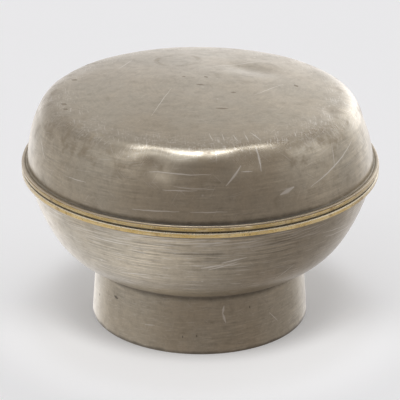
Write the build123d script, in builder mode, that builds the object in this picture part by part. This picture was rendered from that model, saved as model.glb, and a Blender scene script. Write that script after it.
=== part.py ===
from build123d import *
from math import cos, radians, sin, sqrt
import os

# Covered sugar bowl in pewter, with a brass ring around the mouth of the bowl and another around the lid's.
# Every piece is turned about Z. The origin is on that axis in the plane that the foot stands on; +Z is up.
# Outlines are drawn in the XZ plane, where X is the radius. Lengths are in millimetres, angles in degrees.
# The lean of a wall is its angle from upright, towards the axis: 0 is a cylinder and 90 is a flat disc.

# Rims: two brass rings of the same width, which face each other across a narrow gap
rim_radius = 65.0
rim_round = 0.35
bowl_rim_bottom = 56.7
bowl_rim_top = 58.5
lid_gap = 0.4
lid_rim_height = 1.5
rim_inner_radius = 63.0

# Lid: a thin dome with a flange turned out at its mouth, above the brass ring
lid_wall = 1.2
flange_thickness = 0.6
flange_radius = 64.75
dome_mouth_radius = 62.9
dome_mouth_lean = 3.5
dome_side_curve = 48.3
dome_side_end_lean = 27.6
dome_shoulder_curve = 8.5
dome_shoulder_end_lean = 80.3
groove_width = 1.0
groove_depth = 0.35

# Bowl: a deep side that turns into a flat bottom
bowl_wall = 2.0
bowl_neck_lean = 13.1
bowl_side_curve = 77.2
bowl_side_end_lean = 29.8
bowl_belly_curve = 29.7
flat_lean = 90.0

# Collar: a band that stands on a ledge turned inside the bowl's mouth and centres the lid
collar_radius = 61.0
collar_top = 62.0
collar_round = 0.3
ledge_lean = 16.0

# Foot: a hollow ring that spreads a little towards the table
foot_wall = 2.0
foot_top_radius = 38.4
foot_bottom_radius = 40.1
foot_round = 0.4

# Solder: fillets that hold the pieces together
rim_solder_leg = 1.2
foot_solder_leg = 2.0
foot_solder_hollow = 0.25  # share of the way to the corner that the middle of the fillet's face sinks

lid_rim_bottom = bowl_rim_top + lid_gap
flange_bottom = lid_rim_bottom + lid_rim_height
flange_top = flange_bottom + flange_thickness


def cosd(angle):
    return cos(radians(angle))


def sind(angle):
    return sin(radians(angle))


def bowl_point(lean, inset):
    """The point of the bowl's side that has this lean, moved into the wall by inset."""
    radius = rim_inner_radius + bowl_side_curve * (cosd(lean) - cosd(bowl_neck_lean))
    height = bowl_rim_bottom - bowl_side_curve * (sind(lean) - sind(bowl_neck_lean))
    return (radius - inset * cosd(lean), height + inset * sind(lean))


def draw_dome(inset):
    """Draw the dome's outline from mouth to axis, inset into the wall, and return its two ends."""
    start = (
        dome_mouth_radius - inset * cosd(dome_mouth_lean),
        flange_top - inset * sind(dome_mouth_lean),
    )
    direction = (-sind(dome_mouth_lean), cosd(dome_mouth_lean))
    side = JernArc(
        start, direction, dome_side_curve - inset, dome_side_end_lean - dome_mouth_lean
    )
    shoulder = JernArc(
        side @ 1, side % 1, dome_shoulder_curve - inset, dome_shoulder_end_lean - dome_side_end_lean
    )
    # The crown is the arc that is level where it reaches the axis, so its centre is on the axis.
    crown_curve = (shoulder @ 1).X / cosd(dome_shoulder_end_lean)
    crown = JernArc(shoulder @ 1, shoulder % 1, crown_curve, flat_lean - dome_shoulder_end_lean)
    return side @ 0, crown @ 1


def draw_bowl(first_lean, inset):
    """Draw the bowl's outline from first_lean to the axis, inset into the wall, and return its two ends."""
    start = bowl_point(first_lean, inset)
    direction = (-sind(first_lean), -cosd(first_lean))
    side = JernArc(start, direction, bowl_side_curve - inset, first_lean - bowl_side_end_lean)
    belly = JernArc(side @ 1, side % 1, bowl_belly_curve - inset, bowl_side_end_lean - flat_lean)
    bottom = Line(belly @ 1, (0, (belly @ 1).Y))
    return side @ 0, bottom @ 1


# The belly is part of a torus, and the foot and its solder meet it from below.
side_end_radius, side_end_height = bowl_point(bowl_side_end_lean, 0)
belly_centre_radius = side_end_radius - bowl_belly_curve * cosd(bowl_side_end_lean)
belly_centre_height = side_end_height + bowl_belly_curve * sind(bowl_side_end_lean)


def on_belly(radius):
    """The point of the bowl's underside at this radius."""
    reach = sqrt(bowl_belly_curve**2 - (radius - belly_centre_radius) ** 2)
    return (radius, belly_centre_height - reach)


def draw_belly(first_radius, last_radius):
    """Draw the stretch of the bowl's underside between two radii."""
    middle = (first_radius + last_radius) / 2
    return ThreePointArc(on_belly(first_radius), on_belly(middle), on_belly(last_radius))


# Lid, from the inside of the mouth around the flange and over the dome
with BuildPart() as lid_shell:
    with BuildSketch(Plane.XZ):
        with BuildLine():
            outer_start, outer_end = draw_dome(0)
            inner_start, inner_end = draw_dome(lid_wall)
            Line(outer_end, inner_end)
            groove_end = (dome_mouth_radius + groove_width, flange_top)
            Polyline(
                inner_start,
                (inner_start.X, flange_bottom),
                (flange_radius, flange_bottom),
                (flange_radius, flange_top),
                groove_end,
            )
            groove_middle = (dome_mouth_radius + groove_width / 2, flange_top - groove_depth)
            ThreePointArc(groove_end, groove_middle, outer_start)
        make_face()
    revolve(axis=Axis.Z)


def brass_ring(bottom, top):
    """Turn a flat ring whose two outer edges are rounded."""
    with BuildPart() as ring:
        with BuildSketch(Plane.XZ) as section:
            with BuildLine():
                Polyline(
                    (rim_inner_radius, bottom),
                    (rim_radius, bottom),
                    (rim_radius, top),
                    (rim_inner_radius, top),
                    close=True,
                )
            make_face()
            fillet(section.vertices().group_by(Axis.X)[-1], rim_round)
        revolve(axis=Axis.Z)
    return ring


# The two brass rings: the lid's lies under the flange, and the bowl's fits around the upright lip
lid_rim = brass_ring(lid_rim_bottom, flange_bottom)
bowl_rim = brass_ring(bowl_rim_bottom, bowl_rim_top)

# Solder in the corner between the flange's underside and the inside of the lid's ring
with BuildPart() as lid_rim_solder:
    with BuildSketch(Plane.XZ):
        with BuildLine():
            corner = (rim_inner_radius, flange_bottom)
            on_ring = (rim_inner_radius, flange_bottom - rim_solder_leg)
            on_flange = (rim_inner_radius - rim_solder_leg, flange_bottom)
            Polyline(on_ring, corner, on_flange, close=True)
        make_face()
    revolve(axis=Axis.Z)

# Bowl, with an upright lip for the brass ring and a ledge inside for the collar
with BuildPart() as bowl_shell:
    with BuildSketch(Plane.XZ):
        with BuildLine():
            outer_start, outer_end = draw_bowl(bowl_neck_lean, 0)
            inner_start, inner_end = draw_bowl(ledge_lean, bowl_wall)
            Line(outer_end, inner_end)
            Polyline(
                outer_start,
                (rim_inner_radius, bowl_rim_top),
                (collar_radius, bowl_rim_top),
                (collar_radius, inner_start.Y),
                inner_start,
            )
        make_face()
    revolve(axis=Axis.Z)

# Solder in the corner between the bowl's side and the underside of its ring
with BuildPart() as bowl_rim_solder:
    with BuildSketch(Plane.XZ):
        with BuildLine():
            corner = bowl_point(bowl_neck_lean, 0)
            on_ring = (rim_inner_radius + rim_solder_leg, bowl_rim_bottom)
            leg_lean = bowl_neck_lean + rim_solder_leg / radians(bowl_side_curve)
            on_bowl = bowl_point(leg_lean, 0)
            half_way = bowl_point((bowl_neck_lean + leg_lean) / 2, 0)
            ThreePointArc(corner, half_way, on_bowl)
            Polyline(on_bowl, on_ring, corner)
        make_face()
    revolve(axis=Axis.Z)

# Collar, whose inside runs on from the inside of the bowl
ledge_radius, ledge_height = bowl_point(ledge_lean, bowl_wall)
with BuildPart() as bowl_collar:
    with BuildSketch(Plane.XZ) as collar_section:
        with BuildLine():
            Polyline(
                (ledge_radius, ledge_height),
                (collar_radius, ledge_height),
                (collar_radius, collar_top),
                (ledge_radius, collar_top),
                close=True,
            )
        make_face()
        fillet(collar_section.vertices().group_by(Axis.Y)[-1], collar_round)
    revolve(axis=Axis.Z)

# Foot, whose top edge is shaped to the bowl's underside
foot_inner_top_radius = foot_top_radius - foot_wall
foot_inner_bottom_radius = foot_bottom_radius - foot_wall
with BuildPart() as foot_ring:
    with BuildSketch(Plane.XZ) as foot_section:
        with BuildLine():
            seam = draw_belly(foot_inner_top_radius, foot_top_radius)
            Polyline(seam @ 1, (foot_bottom_radius, 0), (foot_inner_bottom_radius, 0), seam @ 0)
        make_face()
        fillet(foot_section.vertices().group_by(Axis.Y)[0], foot_round)
    revolve(axis=Axis.Z)

# Solder in the corner between the bowl's underside and the inside of the foot
with BuildPart() as foot_solder:
    with BuildSketch(Plane.XZ):
        with BuildLine():
            corner = on_belly(foot_inner_top_radius)
            share_down = foot_solder_leg / corner[1]
            flare = foot_inner_bottom_radius - foot_inner_top_radius
            on_foot = (foot_inner_top_radius + flare * share_down, corner[1] - foot_solder_leg)
            on_bowl = on_belly(foot_inner_top_radius - foot_solder_leg)
            face_middle = (Vector(*on_foot) + Vector(*on_bowl)) / 2
            sunk_middle = face_middle + (Vector(*corner) - face_middle) * foot_solder_hollow
            Line(on_foot, corner)
            draw_belly(foot_inner_top_radius, foot_inner_top_radius - foot_solder_leg)
            ThreePointArc(on_bowl, (sunk_middle.X, sunk_middle.Y), on_foot)
        make_face()
    revolve(axis=Axis.Z)

pieces = {
    "lid_shell": lid_shell,
    "lid_rim": lid_rim,
    "lid_rim_solder": lid_rim_solder,
    "bowl_shell": bowl_shell,
    "bowl_rim": bowl_rim,
    "bowl_rim_solder": bowl_rim_solder,
    "bowl_collar": bowl_collar,
    "foot_ring": foot_ring,
    "foot_solder": foot_solder,
}
os.makedirs("parts", exist_ok=True)
for label, piece in pieces.items():
    piece.part.label = label
    export_step(piece.part, f"parts/{label}.step")
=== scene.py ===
import math

import bpy
import numpy as np
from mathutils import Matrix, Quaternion, Vector, noise


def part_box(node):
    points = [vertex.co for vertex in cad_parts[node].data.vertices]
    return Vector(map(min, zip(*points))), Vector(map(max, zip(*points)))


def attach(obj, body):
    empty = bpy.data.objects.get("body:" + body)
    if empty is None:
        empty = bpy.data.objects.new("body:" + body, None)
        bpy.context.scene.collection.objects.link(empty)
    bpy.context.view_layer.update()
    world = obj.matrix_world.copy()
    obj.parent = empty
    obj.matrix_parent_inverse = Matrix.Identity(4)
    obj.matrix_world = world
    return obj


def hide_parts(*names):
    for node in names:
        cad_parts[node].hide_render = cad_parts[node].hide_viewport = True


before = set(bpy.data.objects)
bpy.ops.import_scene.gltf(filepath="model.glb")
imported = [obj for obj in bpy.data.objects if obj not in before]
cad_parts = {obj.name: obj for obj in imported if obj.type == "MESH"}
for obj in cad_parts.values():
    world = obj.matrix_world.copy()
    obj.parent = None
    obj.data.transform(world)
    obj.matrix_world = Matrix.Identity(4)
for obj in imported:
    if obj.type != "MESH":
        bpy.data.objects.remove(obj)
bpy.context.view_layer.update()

# Lengths are in metres and angles in degrees, unless a name says otherwise.
# "Around" is an angle about Z from the front of the bowl (-Y), positive towards its right (+X).
MM = 0.001

# ------------------------------------------------------------------------------------------------
# Sizes: overall heights and radii come from the frame, and the curves between are the CAD's own
# ------------------------------------------------------------------------------------------------

rim_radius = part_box("bowl_rim")[1].x
bowl_rim_bottom, bowl_rim_top = (corner.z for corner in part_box("bowl_rim"))
lid_rim_bottom, flange_bottom = (corner.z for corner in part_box("lid_rim"))
crown_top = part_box("lid_shell")[1].z
flange_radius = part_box("lid_shell")[1].x
neck_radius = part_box("bowl_shell")[1].x
bowl_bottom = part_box("bowl_shell")[0].z
collar_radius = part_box("bowl_collar")[1].x
ledge_height, collar_top = (corner.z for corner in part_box("bowl_collar"))
foot_bottom_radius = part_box("foot_ring")[1].x

rim_round = 0.35 * MM
worn_round = 0.45 * MM  # the edges of the brass rings that meet at the gap
flange_top = flange_bottom + 0.6 * MM
lid_wall = 1.2 * MM
dome_mouth_radius = 62.9 * MM
dome_leans = (3.5, 27.6, 80.3, 90.0)
dome_curves = (48.3 * MM, 8.5 * MM)
groove_width = 1.0 * MM
groove_depth = 0.35 * MM
bowl_wall = 2.0 * MM
bowl_leans = (13.1, 29.8, 90.0)
bowl_curves = (77.2 * MM, 29.7 * MM)
ledge_lean = 16.0
foot_wall = 2.0 * MM
foot_top_radius = 38.4 * MM
foot_round = 0.4 * MM


def cosd(angle):
    return math.cos(math.radians(angle))


def sind(angle):
    return math.sin(math.radians(angle))


def towards(around, elevation):
    """The direction at this angle around the bowl and this angle above the horizon."""
    return Vector((sind(around) * cosd(elevation), -cosd(around) * cosd(elevation), sind(elevation)))


# ------------------------------------------------------------------------------------------------
# Outlines: lists of (radius, height) points
# ------------------------------------------------------------------------------------------------


def wall_arc(start, lean, end_lean, curve, rising, inset=0.0, step=0.7 * MM):
    """Points along an arc of a wall, and the point where its uninset arc ends.

    start is where the uninset arc starts. The lean is the wall's angle from upright.
    """
    up = 1 if rising else -1
    count = max(3, round(curve * math.radians(end_lean - lean) / step))
    points = []
    for here in np.linspace(lean, end_lean, count + 1):
        radius = start[0] + curve * (cosd(here) - cosd(lean))
        height = start[1] + up * curve * (sind(here) - sind(lean))
        points.append((radius - inset * cosd(here), height - up * inset * sind(here)))
    end_radius = start[0] + curve * (cosd(end_lean) - cosd(lean))
    end_height = start[1] + up * curve * (sind(end_lean) - sind(lean))
    return points, (end_radius, end_height)


def eased(line, step, reach=1.5 * MM):
    """The line resampled evenly, with its turns spread over about twice the reach."""
    line = np.array(line)
    lengths = np.concatenate([[0], np.cumsum(np.linalg.norm(np.diff(line, axis=0), axis=1))])
    count = round(lengths[-1] / step)
    places = np.linspace(0, lengths[-1], count + 1)
    even = np.stack([np.interp(places, lengths, line[:, axis]) for axis in (0, 1)], axis=1)
    share = reach / step
    margin = math.ceil(3 * share)
    kernel = np.exp(-0.5 * (np.arange(-margin, margin + 1) / share) ** 2)
    kernel /= kernel.sum()
    # Both ends go on straight, so that they stay where they are.
    before = even[0] + (even[0] - even[1]) * np.arange(margin, 0, -1)[:, None]
    after = even[-1] + (even[-1] - even[-2]) * np.arange(1, margin + 1)[:, None]
    longer = np.vstack([before, even, after])
    smooth = np.stack([np.convolve(longer[:, axis], kernel, "valid") for axis in (0, 1)], axis=1)
    return [tuple(point) for point in smooth]


def dome_line(inset, step):
    """The dome's outline from its mouth to the axis, moved into the wall by inset."""
    mouth = (dome_mouth_radius, flange_top)
    side, side_end = wall_arc(mouth, *dome_leans[0:2], dome_curves[0], True, inset)
    shoulder, shoulder_end = wall_arc(side_end, *dome_leans[1:3], dome_curves[1], True, inset, 0.3 * MM)
    crown_curve = shoulder_end[0] / cosd(dome_leans[2])
    crown, _ = wall_arc(shoulder_end, *dome_leans[2:4], crown_curve, True, inset, 0.9 * MM)
    return eased(side + shoulder[1:] + crown[1:-1] + [(0.0, crown[-1][1])], step)


def bowl_line(inset, first_lean):
    """The bowl's outline from first_lean down to the axis, moved into the wall by inset."""
    neck = (neck_radius, bowl_rim_bottom)
    _, start = wall_arc(neck, bowl_leans[0], first_lean, bowl_curves[0], False)
    side, side_end = wall_arc(start, first_lean, bowl_leans[1], bowl_curves[0], False, inset)
    belly, _ = wall_arc(side_end, *bowl_leans[1:3], bowl_curves[1], False, inset)
    height = belly[-1][1]
    bottom = [(radius, height) for radius in np.arange(belly[-1][0] - MM, MM, -MM)]
    return side + belly[1:] + bottom + [(0.0, height)]


def softened(corners, closed=True, steps=4):
    """An outline through corners (radius, height, rounding), with each corner rounded by that much."""
    points = []
    for index, (radius, height, rounding) in enumerate(corners):
        is_end = not closed and index in (0, len(corners) - 1)
        if rounding == 0 or is_end:
            points.append((radius, height))
            continue
        here = Vector((radius, height))
        before = Vector(corners[index - 1][:2])
        after = Vector(corners[(index + 1) % len(corners)][:2])
        first = here + (before - here).normalized() * rounding
        last = here + (after - here).normalized() * rounding
        for share in np.linspace(0, 1, steps + 1):
            # A quadratic curve that leaves and meets the two sides along them
            point = first * (1 - share) ** 2 + here * 2 * share * (1 - share) + last * share**2
            points.append((point.x, point.y))
    return points


def ring_outline(inner_radius, bottom, top, low_round, high_round, crown=0.06 * MM):
    """A brass ring's section, with rounded outer edges and a slightly crowned outer face."""
    face = [
        (rim_radius - crown * (2 * share - 1) ** 2, bottom + (top - bottom) * share, 0.0)
        for share in (0.35, 0.5, 0.65)
    ]
    corners = [
        (inner_radius, bottom, 0.12 * MM),
        (rim_radius - crown, bottom, low_round),
        *face,
        (rim_radius - crown, top, high_round),
        (inner_radius, top, 0.12 * MM),
    ]
    return softened(corners)


# ------------------------------------------------------------------------------------------------
# Handmade unevenness: how far points are from the true turned shape
# ------------------------------------------------------------------------------------------------


def waviness(points, size, depth, seed):
    """Gentle waves of about this size and depth in a wall, moved in and out from the axis."""
    offsets = np.array([noise.noise(Vector(point) / size + Vector((seed, seed, 0))) for point in points])
    outward = points * (1, 1, 0.35)
    outward /= np.maximum(np.linalg.norm(outward, axis=1, keepdims=True), 1e-6)
    return outward * offsets[:, None] * depth


def dent(points, around, radius, height, slope, width, length, depth, turn=0.0):
    """A smooth dent that is centred on a point of the wall.

    slope is the elevation of the wall's normal there. The dent is width across and length along an
    axis that turn tilts from level, and depth is negative for a bump.
    """
    centre = np.array((sind(around) * radius, -cosd(around) * radius, height))
    normal = np.array(towards(around, slope))
    level = np.array(towards(around + 90, 0))
    steep = np.cross(normal, level)
    along = level * cosd(turn) + steep * sind(turn)
    across = steep * cosd(turn) - level * sind(turn)
    offset = points - centre
    squares = (offset @ along / (length / 2)) ** 2 + (offset @ across / (width / 2)) ** 2
    squares += (offset @ normal / (6 * MM)) ** 2
    return -normal * (depth * np.exp(-squares))[:, None]


LENGTH_KEYS = ("radius", "height", "width", "length", "depth")
lid_dents = (
    dict(around=-14.5, radius=57.5, height=79.2, slope=31, width=7.5, length=13, depth=1.35, turn=-38),
    dict(around=18.5, radius=56.6, height=81.4, slope=40, width=8.0, length=15, depth=1.0, turn=8),
    dict(around=0.0, radius=55.5, height=82.0, slope=48, width=6.0, length=12, depth=-0.16),
    dict(around=134, radius=26, height=87.9, slope=85, width=12, length=19, depth=0.95, turn=20),
    dict(around=67, radius=49.5, height=84.8, slope=78, width=4.0, length=9, depth=0.22, turn=35),
    dict(around=-96, radius=52, height=84.2, slope=70, width=9.0, length=18, depth=-0.30),
    dict(around=-118, radius=50, height=84.6, slope=76, width=9.0, length=20, depth=0.25),
    dict(around=-58, radius=49, height=84.8, slope=79, width=10, length=22, depth=0.25),
    dict(around=-160, radius=58, height=78.5, slope=26, width=9.0, length=15, depth=0.45, turn=25),
    dict(around=95, radius=60, height=73.0, slope=19, width=8.0, length=13, depth=0.30, turn=-20),
    dict(around=-80, radius=61, height=69.0, slope=14, width=9.0, length=16, depth=0.25, turn=12),
)
dome_lean_off = 0.4 * MM  # how far the crown stands to the left of the flange
lean_end = 1 / 2.2  # share of the dome's height at which it has leant that far
work_start = 1 / 6  # share of the dome's height below which the dents and waves fade out


def work_lid(points):
    """Dents, waves and the lean of the dome, which fade out towards the flange."""
    rise = np.clip((points[:, 2] - flange_top) / (crown_top - flange_top), 0, 1)
    moved = waviness(points, 17 * MM, 0.16 * MM, 3.0)
    moved += waviness(points, 7 * MM, 0.035 * MM, 8.0)
    for spec in lid_dents:
        sizes = {key: value * MM for key, value in spec.items() if key in LENGTH_KEYS}
        moved += dent(points, **{**spec, **sizes})
    moved[:, 0] -= dome_lean_off * np.clip(rise / lean_end, 0, 1)
    return points + moved * np.clip(rise / work_start, 0, 1)[:, None]


def work_bowl(points):
    """Slight waves of the bowl's wall, which fade out at the lip and at the foot."""
    below_lip = np.clip((bowl_rim_bottom - points[:, 2]) / (6 * MM), 0, 1)
    above_foot = np.clip((points[:, 2] - bowl_bottom - 7 * MM) / (6 * MM), 0, 1)
    moved = waviness(points, 22 * MM, 0.10 * MM, 5.0) + waviness(points, 9 * MM, 0.025 * MM, 6.0)
    return points + moved * (below_lip * above_foot)[:, None]


def work_ring(seed):
    """The small ups and downs of a brass ring that was bent and filed by hand."""

    def work(points):
        return points + waviness(points, 16 * MM, 0.05 * MM, seed) * (1, 1, 0) + [
            (0, 0, noise.noise(Vector(point) / (24 * MM) + Vector((0, seed, 0))) * 0.07 * MM)
            for point in points * (1, 1, 0)
        ]

    return work


# ------------------------------------------------------------------------------------------------
# Turned meshes
# ------------------------------------------------------------------------------------------------


def turned(name, outline, segments=320, closed=True, work=None, inner_rows=None, sharp=35.0):
    """A piece turned about Z from its outline, as an object.

    An open outline starts and ends on the axis. work takes the points and returns them moved.
    The faces from the first of inner_rows to the last get the second material. The attribute
    "turn" holds the cosine and sine of a vertex's angle, and its distance along the outline, so
    that noise over it has no seam.
    """
    outline = np.array(outline, float)
    ring_rows = outline if closed else outline[1:-1]
    steps = np.linalg.norm(np.diff(outline, axis=0), axis=1)
    lengths = np.concatenate([[0], np.cumsum(steps)])
    row_lengths = lengths if closed else lengths[1:-1]
    angles = np.arange(segments) * 2 * math.pi / segments
    rows = len(ring_rows)
    points = np.empty((rows, segments, 3))
    points[..., 0] = ring_rows[:, :1] * np.cos(angles)
    points[..., 1] = ring_rows[:, :1] * np.sin(angles)
    points[..., 2] = ring_rows[:, 1:]
    turn = np.empty_like(points)
    turn[..., 0] = np.cos(angles)
    turn[..., 1] = np.sin(angles)
    turn[..., 2] = row_lengths[:, None]
    points = points.reshape(-1, 3)
    turn = turn.reshape(-1, 3)
    if not closed:
        points = np.vstack([points, [0, 0, outline[0, 1]], [0, 0, outline[-1, 1]]])
        turn = np.vstack([turn, [0, 0, 0], [0, 0, lengths[-1]]])
    faces = []
    inner = []
    for row in range(rows if closed else rows - 1):
        low = row * segments
        high = (row + 1) % rows * segments
        is_inner = inner_rows is not None and inner_rows[0] <= row < inner_rows[1]
        for here in range(segments):
            there = (here + 1) % segments
            faces.append((low + here, low + there, high + there, high + here))
            inner.append(is_inner)
    if not closed:
        first_pole, last_pole = rows * segments, rows * segments + 1
        last_ring = (rows - 1) * segments
        for here in range(segments):
            there = (here + 1) % segments
            faces.append((first_pole, there, here))
            inner.append(inner_rows is not None and inner_rows[0] == 0)
            faces.append((last_pole, last_ring + here, last_ring + there))
            inner.append(inner_rows is not None and inner_rows[1] >= rows - 1)
    if work is not None:
        points = work(points)
    mesh = bpy.data.meshes.new(name)
    mesh.from_pydata(points.tolist(), [], faces)
    attribute = mesh.attributes.new("turn", "FLOAT_VECTOR", "POINT")
    attribute.data.foreach_set("vector", turn.ravel())
    mesh.polygons.foreach_set("material_index", inner)
    mesh.shade_smooth()
    mesh.set_sharp_from_angle(angle=math.radians(sharp))
    piece = bpy.data.objects.new(name, mesh)
    bpy.context.scene.collection.objects.link(piece)
    return piece


# ------------------------------------------------------------------------------------------------
# Material nodes
# ------------------------------------------------------------------------------------------------


class Nodes:
    """Short names for the nodes of one tree. Inputs are sockets, numbers or tuples."""

    def __init__(self, tree):
        self.tree = tree

    def add(self, kind, inputs=(), **settings):
        node = self.tree.nodes.new("ShaderNode" + kind)
        for name, value in settings.items():
            setattr(node, name, value)
        for key, value in dict(inputs).items():
            if isinstance(value, bpy.types.NodeSocket):
                self.tree.links.new(value, node.inputs[key])
            else:
                node.inputs[key].default_value = value
        return node

    def math(self, operation, *values, clamp=False):
        node = self.add("Math", dict(enumerate(values)), operation=operation, use_clamp=clamp)
        return node.outputs[0]

    def vector(self, operation, *values, output=0, scale=None):
        inputs = dict(enumerate(values))
        if scale is not None:
            inputs["Scale"] = scale
        return self.add("VectorMath", inputs, operation=operation).outputs[output]

    def ramp(self, value, low, high, start=0.0, end=1.0):
        """start below low, end above high, and a smooth change between them."""
        inputs = {0: value, 1: low, 2: high, 3: start, 4: end}
        return self.add("MapRange", inputs, interpolation_type="SMOOTHSTEP").outputs[0]

    def band(self, value, low, full, last_full, high):
        """1 between full and last_full, and 0 below low and above high."""
        return self.all_of(self.ramp(value, low, full), self.ramp(value, last_full, high, 1.0, 0.0))

    def backward(self, position):
        """The position's Y, which grows from the front of the bowl to its back."""
        return self.add("SeparateXYZ", {0: position}).outputs[1]

    def noise(self, vector, scale, detail=3.0, roughness=0.55, distortion=0.0):
        inputs = {"Vector": vector, "Scale": scale, "Detail": detail, "Roughness": roughness}
        inputs["Distortion"] = distortion
        return self.add("TexNoise", inputs).outputs[0]

    def mix(self, share, first, second):
        """A mix of two colours, with tuples of red, green and blue allowed."""
        inputs = {0: share, 6: first, 7: second}
        for key in (6, 7):
            if isinstance(inputs[key], tuple):
                inputs[key] = (*inputs[key], 1)
        return self.add("Mix", inputs, data_type="RGBA").outputs[2]

    def shade(self, colour, factor):
        """The colour made lighter or darker by a factor."""
        return self.vector("SCALE", colour, scale=factor)

    def all_of(self, *values):
        result = values[0]
        for value in values[1:]:
            result = self.math("MULTIPLY", result, value)
        return result

    def any_of(self, *values):
        result = values[0]
        for value in values[1:]:
            result = self.math("MAXIMUM", result, value)
        return result

    def total(self, *values):
        result = values[0]
        for value in values[1:]:
            result = self.math("ADD", result, value)
        return result


def mark_group():
    """A node group: the distance from a straight mark, in shares of its half width.

    Run leads from the mark's start to its end, and Pace is Run over the square of its length.
    """
    tree = bpy.data.node_groups.new("mark", "ShaderNodeTree")
    for name in ("Place", "Start", "Run", "Pace"):
        tree.interface.new_socket(name, in_out="INPUT", socket_type="NodeSocketVector")
    tree.interface.new_socket("Width", in_out="INPUT", socket_type="NodeSocketFloat")
    tree.interface.new_socket("Distance", in_out="OUTPUT", socket_type="NodeSocketFloat")
    nodes = Nodes(tree)
    given = tree.nodes.new("NodeGroupInput").outputs
    offset = nodes.vector("SUBTRACT", given["Place"], given["Start"])
    share = nodes.vector("DOT_PRODUCT", offset, given["Pace"], output=1)
    share = nodes.math("ADD", share, 0.0, clamp=True)
    nearest = nodes.vector("SCALE", given["Run"], scale=share)
    distance = nodes.vector("DISTANCE", offset, nearest, output=1)
    # The mark tapers to half of its width at its ends.
    taper = nodes.math("ADD", nodes.math("PINGPONG", share, 0.5), 0.25)
    half_width = nodes.math("MULTIPLY", given["Width"], taper)
    result = tree.nodes.new("NodeGroupOutput")
    tree.links.new(nodes.math("DIVIDE", distance, half_width), result.inputs["Distance"])
    return tree


mark = mark_group()
unroll_radius = 60.0  # millimetres, for marks on walls


def wall_place(nodes, position):
    """Millimetres around and up a wall, as a vector."""
    parts = nodes.add("SeparateXYZ", {0: position})
    backward = nodes.math("MULTIPLY", parts.outputs[1], -1.0)
    angle = nodes.math("ARCTAN2", parts.outputs[0], backward)
    around = nodes.math("MULTIPLY", angle, unroll_radius)
    up = nodes.math("MULTIPLY", parts.outputs[2], 1000.0)
    return nodes.add("CombineXYZ", {0: around, 1: up}).outputs[0], up


def crown_place(nodes, position):
    """Millimetres right and back on the crown, as a vector."""
    return nodes.vector("MULTIPLY", position, (1000.0, 1000.0, 0.0))


def marks(nodes, place, specs, on_wall):
    """All the marks of a list of (around, distance, around, distance, width).

    The distance is the height on a wall, and the radius on the crown.
    """
    nearest = 9.0
    for around, distance, end_around, end_distance, width in specs:
        if on_wall:
            start = Vector((math.radians(around) * unroll_radius, distance, 0))
            end = Vector((math.radians(end_around) * unroll_radius, end_distance, 0))
        else:
            start = towards(around, 0) * distance
            end = towards(end_around, 0) * end_distance
        run = end - start
        group = nodes.add("Group", node_tree=mark)
        nodes.tree.links.new(place, group.inputs["Place"])
        group.inputs["Start"].default_value = start
        group.inputs["Run"].default_value = run
        group.inputs["Pace"].default_value = run / run.length_squared
        group.inputs["Width"].default_value = width
        nearest = nodes.math("MINIMUM", nearest, group.outputs[0])
    return nodes.ramp(nearest, 0.3, 1.0, 1.0, 0.0)


def hairlines(nodes, place, angle, length, width, low, high):
    """Fine scratches in one direction, scattered over the place in millimetres."""
    mapping = nodes.add("Mapping", {"Vector": place, "Rotation": (0, 0, math.radians(angle))})
    mapping.vector_type = "TEXTURE"
    stretched = nodes.vector("MULTIPLY", mapping.outputs[0], (1 / length, 1 / width, 1.0))
    return nodes.ramp(nodes.noise(stretched, 1.0, 1.0, 0.4, 0.15), low, high)


def specks(nodes, position, spacing, size, kept):
    """Small round specks, in the share of the cells that is kept."""
    inputs = {"Vector": position, "Scale": 1 / (spacing * MM), "Randomness": 1.0}
    cells = nodes.add("TexVoronoi", inputs)
    chosen = nodes.add("SeparateColor", {0: cells.outputs["Color"]})
    reach = nodes.math("MULTIPLY", chosen.outputs[1], size / spacing)
    inside = nodes.math("LESS_THAN", chosen.outputs[0], kept)
    blot = nodes.ramp(nodes.math("DIVIDE", cells.outputs["Distance"], reach), 0.35, 1.0, 1.0, 0.0)
    return nodes.all_of(blot, inside)


def new_material(name):
    material = bpy.data.materials.new(name)
    material.use_nodes = True
    shader = material.node_tree.nodes["Principled BSDF"]
    nodes = Nodes(material.node_tree)
    position = nodes.add("TexCoord").outputs["Object"]
    return material, shader, nodes, position


def turning_lines(nodes, pitch, breaks):
    """Light and dark lines that run around the piece, from the attribute that turned() writes.

    pitch is their size in millimetres, and breaks is how often they change on their way around.
    """
    turn = nodes.add("Attribute", attribute_name="turn").outputs["Vector"]
    stretched = nodes.vector("MULTIPLY", turn, (breaks, breaks, 1 / (pitch * MM)))
    return nodes.noise(stretched, 1.0, 2.0, 0.6)


coat_roughness = 0.22


def finish_metal(
    nodes, shader, colour, roughness, height, depth, anisotropy, metallic=1.0, coat=0.35
):
    """Connect a metal's colour, roughness and surface height, which is in shares of depth.

    The coat is a thin film of wax and handling, which brightens the metal at its edges.
    """
    nodes.tree.links.new(colour, shader.inputs["Base Color"])
    nodes.tree.links.new(roughness, shader.inputs["Roughness"])
    shader.inputs["Metallic"].default_value = metallic
    shader.inputs["Anisotropic"].default_value = anisotropy
    shader.inputs["Coat Weight"].default_value = coat
    shader.inputs["Coat Roughness"].default_value = coat_roughness
    tangent = nodes.add("Tangent", direction_type="RADIAL", axis="Z")
    nodes.tree.links.new(tangent.outputs[0], shader.inputs["Tangent"])
    bump = nodes.add("Bump", {"Height": height, "Distance": depth, "Strength": 1.0})
    nodes.tree.links.new(bump.outputs[0], shader.inputs["Normal"])


# ------------------------------------------------------------------------------------------------
# Pewter
# ------------------------------------------------------------------------------------------------

pewter_warm = (0.535, 0.475, 0.365)
pewter_grey = (0.515, 0.47, 0.375)
pewter_brown = (0.42, 0.36, 0.265)
pewter_dark = (0.30, 0.25, 0.18)
pewter_bare = (0.80, 0.77, 0.70)
flange_bare_and_highlight = (0.66, 0.56, 0.41)
# Near-black: grime in the pits, and painted shade in the lid's groove, at the foot seam, under the
# bowl's rim and by the gap between the rims; it also darkens the foot's bottom edge.
dark_grime_and_shade = (0.055, 0.050, 0.045)


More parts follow.
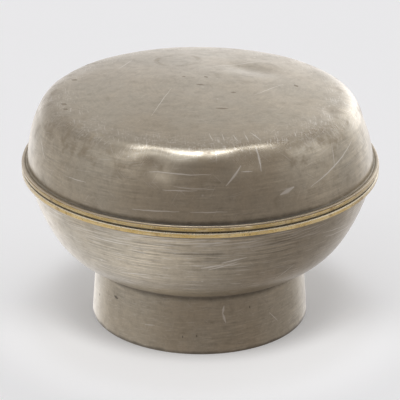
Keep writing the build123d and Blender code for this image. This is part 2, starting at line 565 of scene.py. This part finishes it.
def pewter_skin(nodes, position, streaks, pitch=0.8, breaks=5.0):
    """The look that all the pewter shares: patina, mottling, turning lines, grain and specks.

    Returns its colour, roughness and height. streaks is how strong the turning lines are, pitch
    is their size in millimetres, and they are shorter where breaks is higher.
    """
    clouds = nodes.noise(position, 1 / (24 * MM), 4.0, 0.6)
    mottle = nodes.noise(position, 1 / (3.5 * MM), 5.0, 0.65, 0.4)
    grain = nodes.noise(position, 1 / (0.75 * MM), 2.0, 0.5)
    lines = turning_lines(nodes, pitch, breaks)
    patches = nodes.ramp(nodes.noise(position, 1 / (14 * MM), 2.0), 0.42, 0.62, 0.25, 1.0)
    lines_here = nodes.all_of(nodes.math("SUBTRACT", lines, 0.5), patches, streaks)
    colour = nodes.mix(nodes.ramp(clouds, 0.35, 0.65), pewter_warm, pewter_grey)
    colour = nodes.mix(nodes.ramp(mottle, 0.5, 0.8, 0.0, 0.45), colour, pewter_brown)
    colour = nodes.shade(colour, nodes.ramp(mottle, 0.25, 0.75, 1.06, 0.93))
    colour = nodes.shade(colour, nodes.ramp(grain, 0.3, 0.7, 0.96, 1.04))
    colour = nodes.shade(colour, nodes.math("MULTIPLY_ADD", lines_here, 0.9, 1.0))
    dark_specks = specks(nodes, position, 9.0, 1.6, 0.30)
    pale_specks = specks(nodes, position, 5.0, 0.7, 0.22)
    colour = nodes.mix(nodes.math("MULTIPLY", dark_specks, 0.45), colour, pewter_brown)
    colour = nodes.mix(nodes.math("MULTIPLY", pale_specks, 0.5), colour, pewter_bare)
    roughness = nodes.ramp(clouds, 0.3, 0.7, 0.34, 0.42)
    roughness = nodes.total(roughness, nodes.ramp(mottle, 0.3, 0.8, -0.02, 0.06))
    height = nodes.total(
        nodes.math("MULTIPLY", grain, 0.30),
        nodes.math("MULTIPLY", mottle, 0.55),
        nodes.math("MULTIPLY", lines_here, 0.75),
        nodes.math("MULTIPLY", dark_specks, -0.25),
        nodes.math("MULTIPLY", pale_specks, 0.25),
    )
    return colour, roughness, height


def scratched(nodes, skin, mask, strength, bright=pewter_bare, cut=0.6):
    """The skin with scratches where the mask is 1. cut is how deep a full scratch is, if not 0."""
    colour, roughness, height = skin
    colour = nodes.mix(nodes.math("MULTIPLY", mask, strength), colour, bright)
    roughness = nodes.math("MULTIPLY_ADD", mask, 0.10 * strength, roughness)
    if cut:
        height = nodes.math("MULTIPLY_ADD", mask, -cut * strength, height)
    return colour, roughness, height


def tinted(nodes, skin, mask, tint, strength, dulling=0.25):
    """The skin with a colour laid over it where the mask is 1: used for stains and grime, and also for
    painted shade and painted highlights.
    """
    colour, roughness, height = skin
    share = nodes.math("MULTIPLY", mask, strength)
    colour = nodes.mix(share, colour, tint)
    roughness = nodes.math("MULTIPLY_ADD", share, dulling, roughness)
    return colour, roughness, height


skin_depth = 0.015 * MM

lid_wall_scratches = (
    # around, height, around, height, width
    (-21.5, 64.6, -6.5, 65.3, 0.45),
    (-3.0, 65.3, 8.5, 65.2, 0.40),
    (-12.0, 72.2, -1.0, 72.5, 0.38),
    (-8.5, 73.4, 4.5, 72.9, 0.30),
    (-17.0, 77.3, 3.5, 77.6, 0.34),
    (13.8, 79.4, 8.4, 73.9, 0.75),
    (13.8, 77.8, 17.6, 77.6, 0.35),
    (26.4, 69.0, 31.4, 70.6, 1.5),
    (20.8, 84.2, 20.6, 77.4, 0.75),
    (64.0, 77.0, 38.0, 69.0, 0.50),
    (52.0, 80.0, 50.0, 72.0, 0.30),
    (-70.0, 76.0, -62.0, 70.5, 0.35),
    (-47.0, 69.5, -39.5, 69.8, 0.30),
    (112.0, 75.0, 101.0, 70.0, 0.45),
    (150.0, 70.0, 171.0, 71.4, 0.40),
    (-132.0, 74.0, -121.0, 79.5, 0.50),
    (-168.0, 68.5, -150.0, 68.0, 0.38),
)
crown_scratches = (
    # around, radius, around, radius, width
    (24.0, 49.9, 22.6, 44.5, 0.45),
    (19.0, 50.0, 19.6, 45.6, 0.35),
    (15.2, 49.2, 14.4, 44.8, 0.35),
    (9.5, 48.6, 9.9, 43.6, 0.30),
    (5.0, 48.0, 4.0, 42.8, 0.28),
    (-140, 40, -122, 36, 0.35),
    (60, 22, 95, 30, 0.28),
    (-60, 12, -30, 34, 0.28),
    (170, 18, 140, 41, 0.30),
)
crown_spots = (
    # around, radius, around, radius, width
    (-30, 2.6, 20, 3.4, 1.7),
    (155, 5.6, 166, 6.6, 1.5),
    (-130, 8.6, -139, 8.4, 1.2),
    (50, 14.2, 53, 15.6, 1.3),
    (13, 24.3, 22, 25.6, 1.3),
    (-104.6, 48.6, -103.4, 46.6, 1.9),
    (-77.0, 50.6, -74.6, 49.4, 1.8),
    (-71.4, 50.9, -69.6, 50.1, 1.4),
    (92, 35, 95, 34, 1.6),
)


def lid_pewter():
    """The outside of the lid: the shared skin, the marks that the photograph shows, and wear."""
    material, shader, nodes, position = new_material("pewter_lid")
    wall, up = wall_place(nodes, position)
    skin = pewter_skin(nodes, position, nodes.ramp(up, 78.0, 85.0, 0.95, 0.35))
    wobble = nodes.noise(position, 1 / (5 * MM), 1.0)
    wobble_mm = nodes.math("MULTIPLY_ADD", wobble, 0.7, -0.35)
    shift = nodes.add("CombineXYZ", {0: wobble_mm, 1: wobble_mm}).outputs[0]
    wall = nodes.vector("ADD", wall, shift)
    crown = nodes.vector("ADD", crown_place(nodes, position), shift)
    on_crown = nodes.ramp(up, 83.8, 84.4)
    on_wall = nodes.math("SUBTRACT", 1.0, on_crown)

    # Wear of the shoulder, where the lid is handled: fine scuffs and a paler, matt bloom
    shoulder = nodes.band(up, 79.5, 83.6, 85.2, 86.6)
    uneven = nodes.ramp(nodes.noise(position, 1 / (9 * MM), 3.0), 0.38, 0.62)
    bloom = nodes.ramp(nodes.noise(position, 1 / (0.9 * MM), 2.0, 0.6), 0.50, 0.72)
    skin = scratched(nodes, skin, nodes.all_of(shoulder, uneven, bloom), 0.60)
    upright = nodes.all_of(hairlines(nodes, wall, 84, 5.0, 0.45, 0.60, 0.72), on_wall)
    spokes = nodes.all_of(hairlines(nodes, crown, 96, 5.0, 0.45, 0.60, 0.72), on_crown)
    scuffs = nodes.all_of(nodes.any_of(upright, spokes), shoulder)
    skin = scratched(nodes, skin, scuffs, 0.60)
    blotches = nodes.ramp(nodes.noise(position, 1 / (7 * MM), 4.0, 0.65), 0.50, 0.66)
    below_crown = nodes.band(up, 72.0, 80.0, 83.5, 86.0)
    skin = tinted(nodes, skin, nodes.all_of(blotches, below_crown), pewter_brown, 0.70)
    # Handling has polished the shoulder.
    colour, roughness, height = skin
    polish = nodes.band(up, 77.5, 80.5, 84.5, 86.0)
    skin = (colour, nodes.math("MULTIPLY_ADD", polish, -0.09, roughness), height)

    # Hairlines in all directions from years of use
    for angle, low in ((8, 0.66), (62, 0.69), (-38, 0.68)):
        over_wall = nodes.all_of(hairlines(nodes, wall, angle, 9.0, 0.40, low, low + 0.07), on_wall)
        over_crown = nodes.all_of(
            hairlines(nodes, crown, angle, 9.0, 0.40, low, low + 0.07), on_crown
        )
        skin = scratched(nodes, skin, nodes.any_of(over_wall, over_crown), 0.30)

    cuts = nodes.all_of(marks(nodes, wall, lid_wall_scratches, True), on_wall)
    crown_cuts = nodes.all_of(marks(nodes, crown, crown_scratches, False), on_crown)
    skin = scratched(nodes, skin, nodes.any_of(cuts, crown_cuts), 0.95, cut=0)
    spots = nodes.all_of(marks(nodes, crown, crown_spots, False), on_crown)
    skin = tinted(nodes, skin, spots, pewter_dark, 0.8)

    # A ring-shaped stain behind the middle of the crown
    from_stain = nodes.vector("SUBTRACT", crown, (-8.5, 27.5, 0.0))
    off_ring = nodes.math("SUBTRACT", nodes.vector("LENGTH", from_stain, output=1), 8.0)
    ring = nodes.ramp(nodes.math("ABSOLUTE", off_ring), 0.4, 1.4, 1.0, 0.0)
    skin = tinted(nodes, skin, nodes.all_of(ring, on_crown, uneven), pewter_brown, 0.5)

    # Painted shade in the groove at the foot of the wall, most of it at the front, and a pale flange
    # edge that is worn bare and also a painted highlight
    ragged_noise = nodes.noise(position, 1 / (4 * MM), 3.0)
    above = nodes.math("SUBTRACT", up, nodes.math("MULTIPLY_ADD", ragged_noise, 1.2, flange_top / MM - 0.6))
    groove_shade = nodes.ramp(above, -0.6, 1.9, 1.0, 0.0)
    radius = nodes.vector("LENGTH", crown, output=1)
    in_groove = nodes.ramp(radius, 63.2, 63.8, 1.0, 0.0)
    backward = nodes.backward(position)
    groove_shade_by_side = nodes.ramp(backward, -0.95 * rim_radius, -0.35 * rim_radius, 0.85, 0.25)
    skin = tinted(nodes, skin, nodes.all_of(groove_shade, in_groove, groove_shade_by_side), dark_grime_and_shade, 1.0)
    # The flange's outer edge is painted paler: worn bare, and also a painted highlight.
    skin = tinted(nodes, skin, nodes.ramp(radius, 64.1, 64.5), flange_bare_and_highlight, 0.6, 0.0)
    finish_metal(nodes, shader, *skin, skin_depth, 0.35)
    return material


bowl_scratches = (
    # around, height, around, height, width
    (0.5, 42.6, 8.0, 44.2, 0.75),
    (3.0, 41.8, 12.5, 44.8, 0.60),
    (7.5, 45.0, 15.5, 46.6, 0.70),
    (9.0, 43.4, 14.0, 43.9, 0.45),
    (-3.5, 43.6, 2.0, 43.9, 0.40),
    (47.0, 46.9, 65.0, 44.6, 0.45),
    (44.0, 49.5, 58.0, 47.6, 0.35),
    (-40, 50.0, -22.0, 50.4, 0.35),
    (-30, 36.0, -18.0, 37.4, 0.35),
    (30, 33.0, 36.0, 38.5, 0.40),
    (98, 48.0, 118.0, 46.0, 0.45),
    (140, 35.0, 152.0, 41.0, 0.50),
    (-160, 47.0, -139.0, 48.6, 0.45),
    (-100, 38.0, -92.0, 33.0, 0.40),
)


def bowl_pewter():
    """The outside of the bowl: strong turning lines under the rim, scratches, and painted shade towards
    the foot seam and under the rim.
    """
    material, shader, nodes, position = new_material("pewter_bowl")
    backward = nodes.backward(position)
    streaks = nodes.ramp(backward, -56 * MM, -34 * MM, 2.4, 0.4)
    skin = pewter_skin(nodes, position, streaks, 0.6, 2.5)
    wall, up = wall_place(nodes, position)
    wobble = nodes.math("MULTIPLY_ADD", nodes.noise(position, 1 / (5 * MM), 1.0), 0.7, -0.35)
    wall = nodes.vector("ADD", wall, nodes.add("CombineXYZ", {0: wobble, 1: wobble}).outputs[0])

    # Filing marks under the rim, coarser than the turning lines
    under_rim = nodes.ramp(up, 46.0, 54.0)
    filed = hairlines(nodes, wall, 3, 12.0, 0.55, 0.52, 0.66)
    filed_low = hairlines(nodes, wall, -2, 9.0, 0.45, 0.60, 0.70)
    skin = scratched(nodes, skin, nodes.all_of(filed, under_rim), 0.62)
    skin = scratched(nodes, skin, filed_low, 0.50)
    for angle, low in ((25, 0.69), (-50, 0.70)):
        skin = scratched(nodes, skin, hairlines(nodes, wall, angle, 8.0, 0.4, low, low + 0.07), 0.3)
    skin = scratched(nodes, skin, marks(nodes, wall, bowl_scratches, True), 0.95, cut=0)

    # Painted shade on the bowl just above the foot seam.
    ragged_noise = nodes.noise(position, 1 / (5 * MM), 3.0)
    above_seam = nodes.math("SUBTRACT", up, nodes.math("MULTIPLY_ADD", ragged_noise, 1.0, 21.0))
    skin = tinted(nodes, skin, nodes.ramp(above_seam, 0.0, 4.5, 1.0, 0.0), dark_grime_and_shade, 0.72)
    # Painted shade, darkening the bowl towards its bottom.
    low_shade = nodes.ramp(up, 24.0, 32.0, 1.0, 0.0)
    skin = tinted(nodes, skin, low_shade, pewter_brown, 0.45)
    # Painted shade on the bowl just under its brass rim.
    shade_under_rim = nodes.ramp(up, bowl_rim_bottom / MM - 0.9, bowl_rim_bottom / MM - 0.1)
    skin = tinted(nodes, skin, shade_under_rim, dark_grime_and_shade, 0.6)
    finish_metal(nodes, shader, *skin, skin_depth, 0.35)
    return material


foot_scratches = (
    # around, height, around, height, width
    (13.0, 18.2, 12.2, 15.5, 1.3),
    (12.2, 15.5, 13.8, 12.0, 1.3),
    (-30, 9.0, -24.0, 9.6, 0.35),
    (40, 12.0, 46.0, 7.5, 0.40),
    (-110, 13.0, -104.0, 6.0, 0.45),
    (150, 15.0, 158.0, 9.0, 0.45),
)
foot_pits = (
    (27.3, 16.4, 27.7, 16.3, 1.4),
    (-1.6, 7.2, -1.2, 7.2, 1.3),
    (-8.9, 6.6, -8.5, 6.6, 1.3),
    (-52.5, 15.3, -49.5, 15.0, 1.2),
    (-70, 11.0, -69.0, 11.0, 1.3),
    (95, 8.0, 96.0, 8.2, 1.4),
)


def foot_pewter():
    """The foot: faint turning lines, pits, painted shade under the seam, and darker along its bottom
    edge.
    """
    material, shader, nodes, position = new_material("pewter_foot")
    skin = pewter_skin(nodes, position, 0.8)
    wall, up = wall_place(nodes, position)
    for angle, low in ((4, 0.62), (70, 0.69), (-35, 0.69)):
        skin = scratched(nodes, skin, hairlines(nodes, wall, angle, 7.0, 0.4, low, low + 0.08), 0.3)
    skin = scratched(nodes, skin, marks(nodes, wall, foot_scratches, True), 0.95, cut=0)
    skin = tinted(nodes, skin, marks(nodes, wall, foot_pits, True), dark_grime_and_shade, 0.6)
    ragged_noise = nodes.noise(position, 1 / (5 * MM), 3.0)
    # Painted shade on the foot just under the seam.
    under_seam = nodes.math("SUBTRACT", up, nodes.math("MULTIPLY_ADD", ragged_noise, -0.8, 21.8))
    skin = tinted(nodes, skin, nodes.ramp(under_seam, -1.8, 0.2), dark_grime_and_shade, 0.55)
    # The foot is darker along its bottom edge.
    standing = nodes.math("SUBTRACT", up, nodes.math("MULTIPLY", ragged_noise, 1.6))
    skin = tinted(nodes, skin, nodes.ramp(standing, -0.4, 0.9, 1.0, 0.0), dark_grime_and_shade, 0.6)
    finish_metal(nodes, shader, *skin, skin_depth, 0.3)
    return material


def inner_pewter():
    """The insides: duller, with strong turning lines, and a stain where sugar has stood."""
    material, shader, nodes, position = new_material("pewter_inside")
    colour, roughness, height = pewter_skin(nodes, position, 1.6)
    blotches = nodes.ramp(nodes.noise(position, 1 / (11 * MM), 4.0, 0.6), 0.48, 0.62)
    skin = (nodes.shade(colour, 0.82), nodes.math("ADD", roughness, 0.10), height)
    skin = tinted(nodes, skin, blotches, pewter_brown, 0.5)
    finish_metal(nodes, shader, *skin, skin_depth, 0.3)
    return material


# ------------------------------------------------------------------------------------------------
# Brass and solder
# ------------------------------------------------------------------------------------------------

brass_gold = (0.96, 0.75, 0.36)
brass_deep = (0.82, 0.60, 0.23)
brass_tarnish_and_shade = (0.26, 0.15, 0.07)
brass_bare_and_highlight = (0.98, 0.90, 0.70)


def rim_brass(name, gap_height, gap_above, brightness):
    """A brass ring: tarnish in patches, filing marks, painted shade towards its sides, on the bowl's a
    worn top edge that is also a painted highlight and painted shade along its lower edge, and on the
    lid's painted shade by the gap.
    """
    material, shader, nodes, position = new_material(name)
    wall, up = wall_place(nodes, position)
    clouds = nodes.noise(position, 1 / (10 * MM), 3.0, 0.6)
    fine = nodes.noise(position, 1 / (1.1 * MM), 3.0, 0.6)
    colour = nodes.mix(nodes.ramp(clouds, 0.35, 0.65), brass_gold, brass_deep)
    colour = nodes.shade(colour, brightness)
    skin = (colour, nodes.ramp(fine, 0.3, 0.7, 0.26, 0.38), nodes.math("MULTIPLY", fine, 0.6))
    filed = hairlines(nodes, wall, 1, 6.0, 0.30, 0.52, 0.64)
    skin = scratched(nodes, skin, filed, 0.40, brass_bare_and_highlight)
    nicks = hairlines(nodes, wall, 78, 1.6, 0.30, 0.66, 0.72)
    skin = scratched(nodes, skin, nicks, 0.50, brass_bare_and_highlight)
    blots = specks(nodes, position, 3.2, 1.2, 0.35)
    skin = tinted(nodes, skin, blots, brass_tarnish_and_shade, 0.65)
    patches = nodes.ramp(nodes.noise(position, 1 / (6 * MM), 4.0, 0.65), 0.52, 0.66)
    skin = tinted(nodes, skin, patches, brass_tarnish_and_shade, 0.50)
    # Away from the front the rings are painted darker and browner: painted shade of their sides.
    backward = nodes.backward(position)
    side_shade = nodes.ramp(backward, -0.75 * rim_radius, -0.25 * rim_radius)
    skin = tinted(nodes, skin, side_shade, pewter_brown, 0.65, 0.05)
    above_gap = nodes.math("SUBTRACT", up, gap_height / MM)
    if gap_above:
        # The bowl ring's top edge is painted paler: worn bare, and also a painted highlight.
        worn_edge_highlight = nodes.ramp(above_gap, -0.50, -0.25)
        skin = tinted(nodes, skin, worn_edge_highlight, brass_bare_and_highlight, 0.9, -0.05)
        # Painted shade along the ring's lower edge.
        lower_edge_shade = nodes.ramp(nodes.math("SUBTRACT", up, bowl_rim_bottom / MM), 0.05, 0.40, 1.0, 0.0)
        skin = tinted(nodes, skin, lower_edge_shade, brass_tarnish_and_shade, 0.7)
    else:
        # Painted shade on the lid ring along the gap between the rims.
        gap_shade = nodes.ramp(above_gap, 0.22, 0.65, 1.0, 0.0)
        skin = tinted(nodes, skin, gap_shade, dark_grime_and_shade, 0.85)
    finish_metal(nodes, shader, *skin, 0.3 * skin_depth, 0.3, metallic=0.5, coat=0.15)
    return material


def soft_solder():
    material, shader, nodes, position = new_material("solder")
    lumps = nodes.noise(position, 1 / (2.2 * MM), 3.0, 0.55)
    colour = nodes.mix(nodes.ramp(lumps, 0.35, 0.65), (0.30, 0.28, 0.25), (0.46, 0.44, 0.40))
    roughness = nodes.ramp(lumps, 0.3, 0.7, 0.45, 0.62)
    finish_metal(nodes, shader, colour, roughness, lumps, 0.15 * MM, 0.0)
    return material


# ------------------------------------------------------------------------------------------------
# Pieces
# ------------------------------------------------------------------------------------------------


def place(piece, materials, node, body, slot):
    for material in materials:
        piece.data.materials.append(material)
    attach(piece, body)
    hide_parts(node)
    return piece


inside = inner_pewter()

dome_outer = dome_line(0, 0.45 * MM)
dome_inner = dome_line(lid_wall, 1.2 * MM)
flange_line = softened(
    [
        (*dome_inner[0], 0),
        (dome_inner[0][0], flange_bottom, 0.15 * MM),
        (flange_radius, flange_bottom, 0.1 * MM),
        (flange_radius, flange_top, 0.35 * MM),
        (dome_mouth_radius + groove_width, flange_top, 0.2 * MM),
        (dome_mouth_radius + 0.6 * groove_width, flange_top - groove_depth, 0.12 * MM),
        (dome_mouth_radius + 0.25 * groove_width, flange_top - groove_depth, 0.12 * MM),
        (*dome_outer[0], 0),
    ],
    closed=False,
)
lid_outline = dome_inner[::-1] + flange_line[1:-1] + dome_outer
place(
    turned("lid_dome", lid_outline, closed=False, work=work_lid, inner_rows=(0, len(dome_inner))),
    (lid_pewter(), inside), "lid_shell", "lid", "pewter",
)
place(
    turned(
        "lid_brass_ring",
        ring_outline(neck_radius, lid_rim_bottom, flange_bottom, worn_round, rim_round),
        segments=960, work=work_ring(2.0),
    ),
    (rim_brass("brass_lid", lid_rim_bottom, False, 0.72),), "lid_rim", "lid", "brass",
)

bowl_outer = bowl_line(0, bowl_leans[0])
bowl_inner = bowl_line(bowl_wall, ledge_lean)
lip_line = softened(
    [
        (*bowl_outer[0], 0),
        (neck_radius, bowl_rim_top, 0.1 * MM),
        (collar_radius, bowl_rim_top, 0.15 * MM),
        (collar_radius, ledge_height, 0),
        (*bowl_inner[0], 0),
    ],
    closed=False,
)
bowl_outline = bowl_outer[::-1] + lip_line[1:-1] + bowl_inner
inner_start = len(bowl_outer) + len(lip_line) - 4
place(
    turned(
        "bowl_body", bowl_outline, closed=False, work=work_bowl,
        inner_rows=(inner_start, len(bowl_outline)),
    ),
    (bowl_pewter(), inside), "bowl_shell", "bowl", "pewter",
)
place(
    turned(
        "bowl_brass_ring",
        ring_outline(neck_radius, bowl_rim_bottom, bowl_rim_top, rim_round, worn_round),
        segments=960, work=work_ring(7.0),
    ),
    (rim_brass("brass_bowl", bowl_rim_top, True, 1.0),), "bowl_rim", "bowl", "brass",
)

collar_inner = bowl_inner[0][0]
collar_outline = softened(
    [
        (collar_inner, ledge_height, 0),
        (collar_radius, ledge_height, 0),
        (collar_radius, collar_top, 0.3 * MM),
        (collar_inner, collar_top, 0.3 * MM),
    ]
)
place(turned("bowl_collar_band", collar_outline), (inside,), "bowl_collar", "bowl", "pewter")

belly_centre_radius = neck_radius + bowl_curves[0] * (cosd(bowl_leans[1]) - cosd(bowl_leans[0]))
belly_centre_radius -= bowl_curves[1] * cosd(bowl_leans[1])


def on_belly(radius):
    """The height of the bowl's underside at this radius."""
    reach = math.sqrt(bowl_curves[1] ** 2 - (radius - belly_centre_radius) ** 2)
    return bowl_bottom + bowl_curves[1] - reach


def foot_wall_line(bottom_radius, top_radius, shares):
    """Points up a wall of the foot, at these shares of its height."""
    flare = bottom_radius - top_radius
    return [(bottom_radius - flare * share, on_belly(top_radius) * share, 0) for share in shares]


foot_shares = np.linspace(0.1, 1, 22)
foot_outline = softened(
    [
        (foot_bottom_radius - foot_wall, 0, foot_round),
        (foot_bottom_radius, 0, foot_round),
        *foot_wall_line(foot_bottom_radius, foot_top_radius, foot_shares),
        (foot_top_radius - foot_wall / 2, on_belly(foot_top_radius - foot_wall / 2), 0),
        *foot_wall_line(foot_bottom_radius - foot_wall, foot_top_radius - foot_wall, foot_shares[::-1]),
    ]
)
place(turned("foot_band", foot_outline), (foot_pewter(),), "foot_ring", "bowl", "pewter")

solder = soft_solder()
for node in ("lid_rim_solder", "bowl_rim_solder", "foot_solder"):
    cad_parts[node].data.materials.clear()
    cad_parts[node].data.materials.append(solder)

# ------------------------------------------------------------------------------------------------
# Floor, light and camera
# ------------------------------------------------------------------------------------------------

floor_half = 3.0
floor_mesh = bpy.data.meshes.new("floor")
floor_corners = [(x, y, 0) for x, y in ((-1, -1), (1, -1), (1, 1), (-1, 1))]
floor_mesh.from_pydata([Vector(corner) * floor_half for corner in floor_corners], [], [(0, 1, 2, 3)])
floor = bpy.data.objects.new("floor", floor_mesh)
bpy.context.scene.collection.objects.link(floor)
floor_material, floor_shader, floor_nodes, floor_place = new_material("floor")
floor_shader.inputs["Base Color"].default_value = (0.69, 0.705, 0.715, 1)
floor_shader.inputs["Roughness"].default_value = 0.9
floor_shader.inputs["Specular IOR Level"].default_value = 0.0
floor_shader.inputs["Emission Color"].default_value = (1, 1, 1, 1)
# The floor glows evenly, for the studio's front lights, which the metal's own lights leave out; on top
# of that it has a painted pool of light in front of the foot and a painted shadow round it
floor_glow = 0.275
off_axis = floor_nodes.vector("LENGTH", floor_place, output=1)
backward = floor_nodes.backward(floor_place)
out_of_shadow = floor_nodes.math("MULTIPLY_ADD", backward, -0.35, off_axis)
front = floor_nodes.ramp(backward, -35 * MM, 10 * MM, 1.0, 0.0)
near = floor_nodes.ramp(out_of_shadow, 49 * MM, 66 * MM)
far = floor_nodes.ramp(off_axis, 52 * MM, 95 * MM, 1.0, 0.0)
# A painted pool of light on the floor in front of the foot
painted_front_light = 0.24
painted_light_pool = floor_nodes.all_of(front, near, far, painted_front_light)
# A painted shadow on the floor round the foot
painted_contact_shadow = floor_nodes.ramp(out_of_shadow, 42 * MM, 58 * MM, -0.07, 0.0)
floor_nodes.tree.links.new(
    floor_nodes.total(painted_light_pool, painted_contact_shadow, floor_glow), floor_shader.inputs["Emission Strength"]
)
floor.data.materials.append(floor_material)
floor.visible_glossy = False  # the metal reflects the lower half of the world instead

room_colour = (0.268, 0.234, 0.214)
# The lights that the metal reflects. Behind is the backdrop, and below the horizon is the table.
room_lights = (
    # around, elevation, tightness, strength
    (180, 0, 4, 0.50),  # backdrop
    (150, 5, 14, 1.60),  # brighter part of the backdrop, on the right
    (150, -25, 14, 0.40),  # table behind, on the right
    (-150, -25, 14, 1.10),  # table behind, on the left
    (-120, -55, 14, 0.45),  # table on the left
    (-60, -55, 14, 0.65),  # table in front, on the left
    (0, -55, 14, 0.20),  # table in front
    (-90, 0, 4, 0.30),  # left wall
    (-60, 30, 14, 0.35),  # left panel
    (90, 30, 14, 0.65),  # right panel
    (90, 5, 14, 0.25),  # right wall
    (0, 90, 14, 0.95),  # wide overhead panel
    (180, 85, 100, 9.00),  # small overhead lamp
    (-45, 55, 40, 1.00),  # small lamp in front, on the left
)
world = bpy.data.worlds.new("studio")
bpy.context.scene.world = world
world.use_nodes = True
sky = Nodes(world.node_tree)
direction = sky.add("TexCoord").outputs["Generated"]
glow = 0.0
for around, elevation, tightness, strength in room_lights:
    facing = sky.vector("DOT_PRODUCT", direction, towards(around, elevation), output=1)
    falloff = sky.math("EXPONENT", sky.math("MULTIPLY_ADD", facing, tightness, -tightness))
    glow = sky.math("MULTIPLY_ADD", falloff, strength, glow)
background = world.node_tree.nodes["Background"]
lit = sky.vector("SCALE", (0.98, 1.0, 1.05), scale=glow)
world.node_tree.links.new(sky.vector("ADD", lit, room_colour), background.inputs["Color"])

camera_elevation = 23.14
camera_distance = 12 * rim_radius
camera_aim = Vector((-0.0006, 0, 0.664)) * rim_radius
camera_roll = 0.3
frame_share = 0.4418  # the rim's radius as a share of the frame's side, at that distance

camera = bpy.data.objects.new("camera", bpy.data.cameras.new("camera"))
bpy.context.scene.collection.objects.link(camera)
camera.data.lens = frame_share * camera_distance / rim_radius * camera.data.sensor_width
away = towards(0, camera_elevation)
camera.location = camera_aim + away * camera_distance
camera.rotation_mode = "QUATERNION"
upright = away.to_track_quat("Z", "Y")
camera.rotation_quaternion = upright @ Quaternion((0, 0, 1), math.radians(camera_roll))
camera.data.clip_start = 0.01
bpy.context.scene.camera = camera
bpy.context.scene.view_settings.view_transform = "Standard"
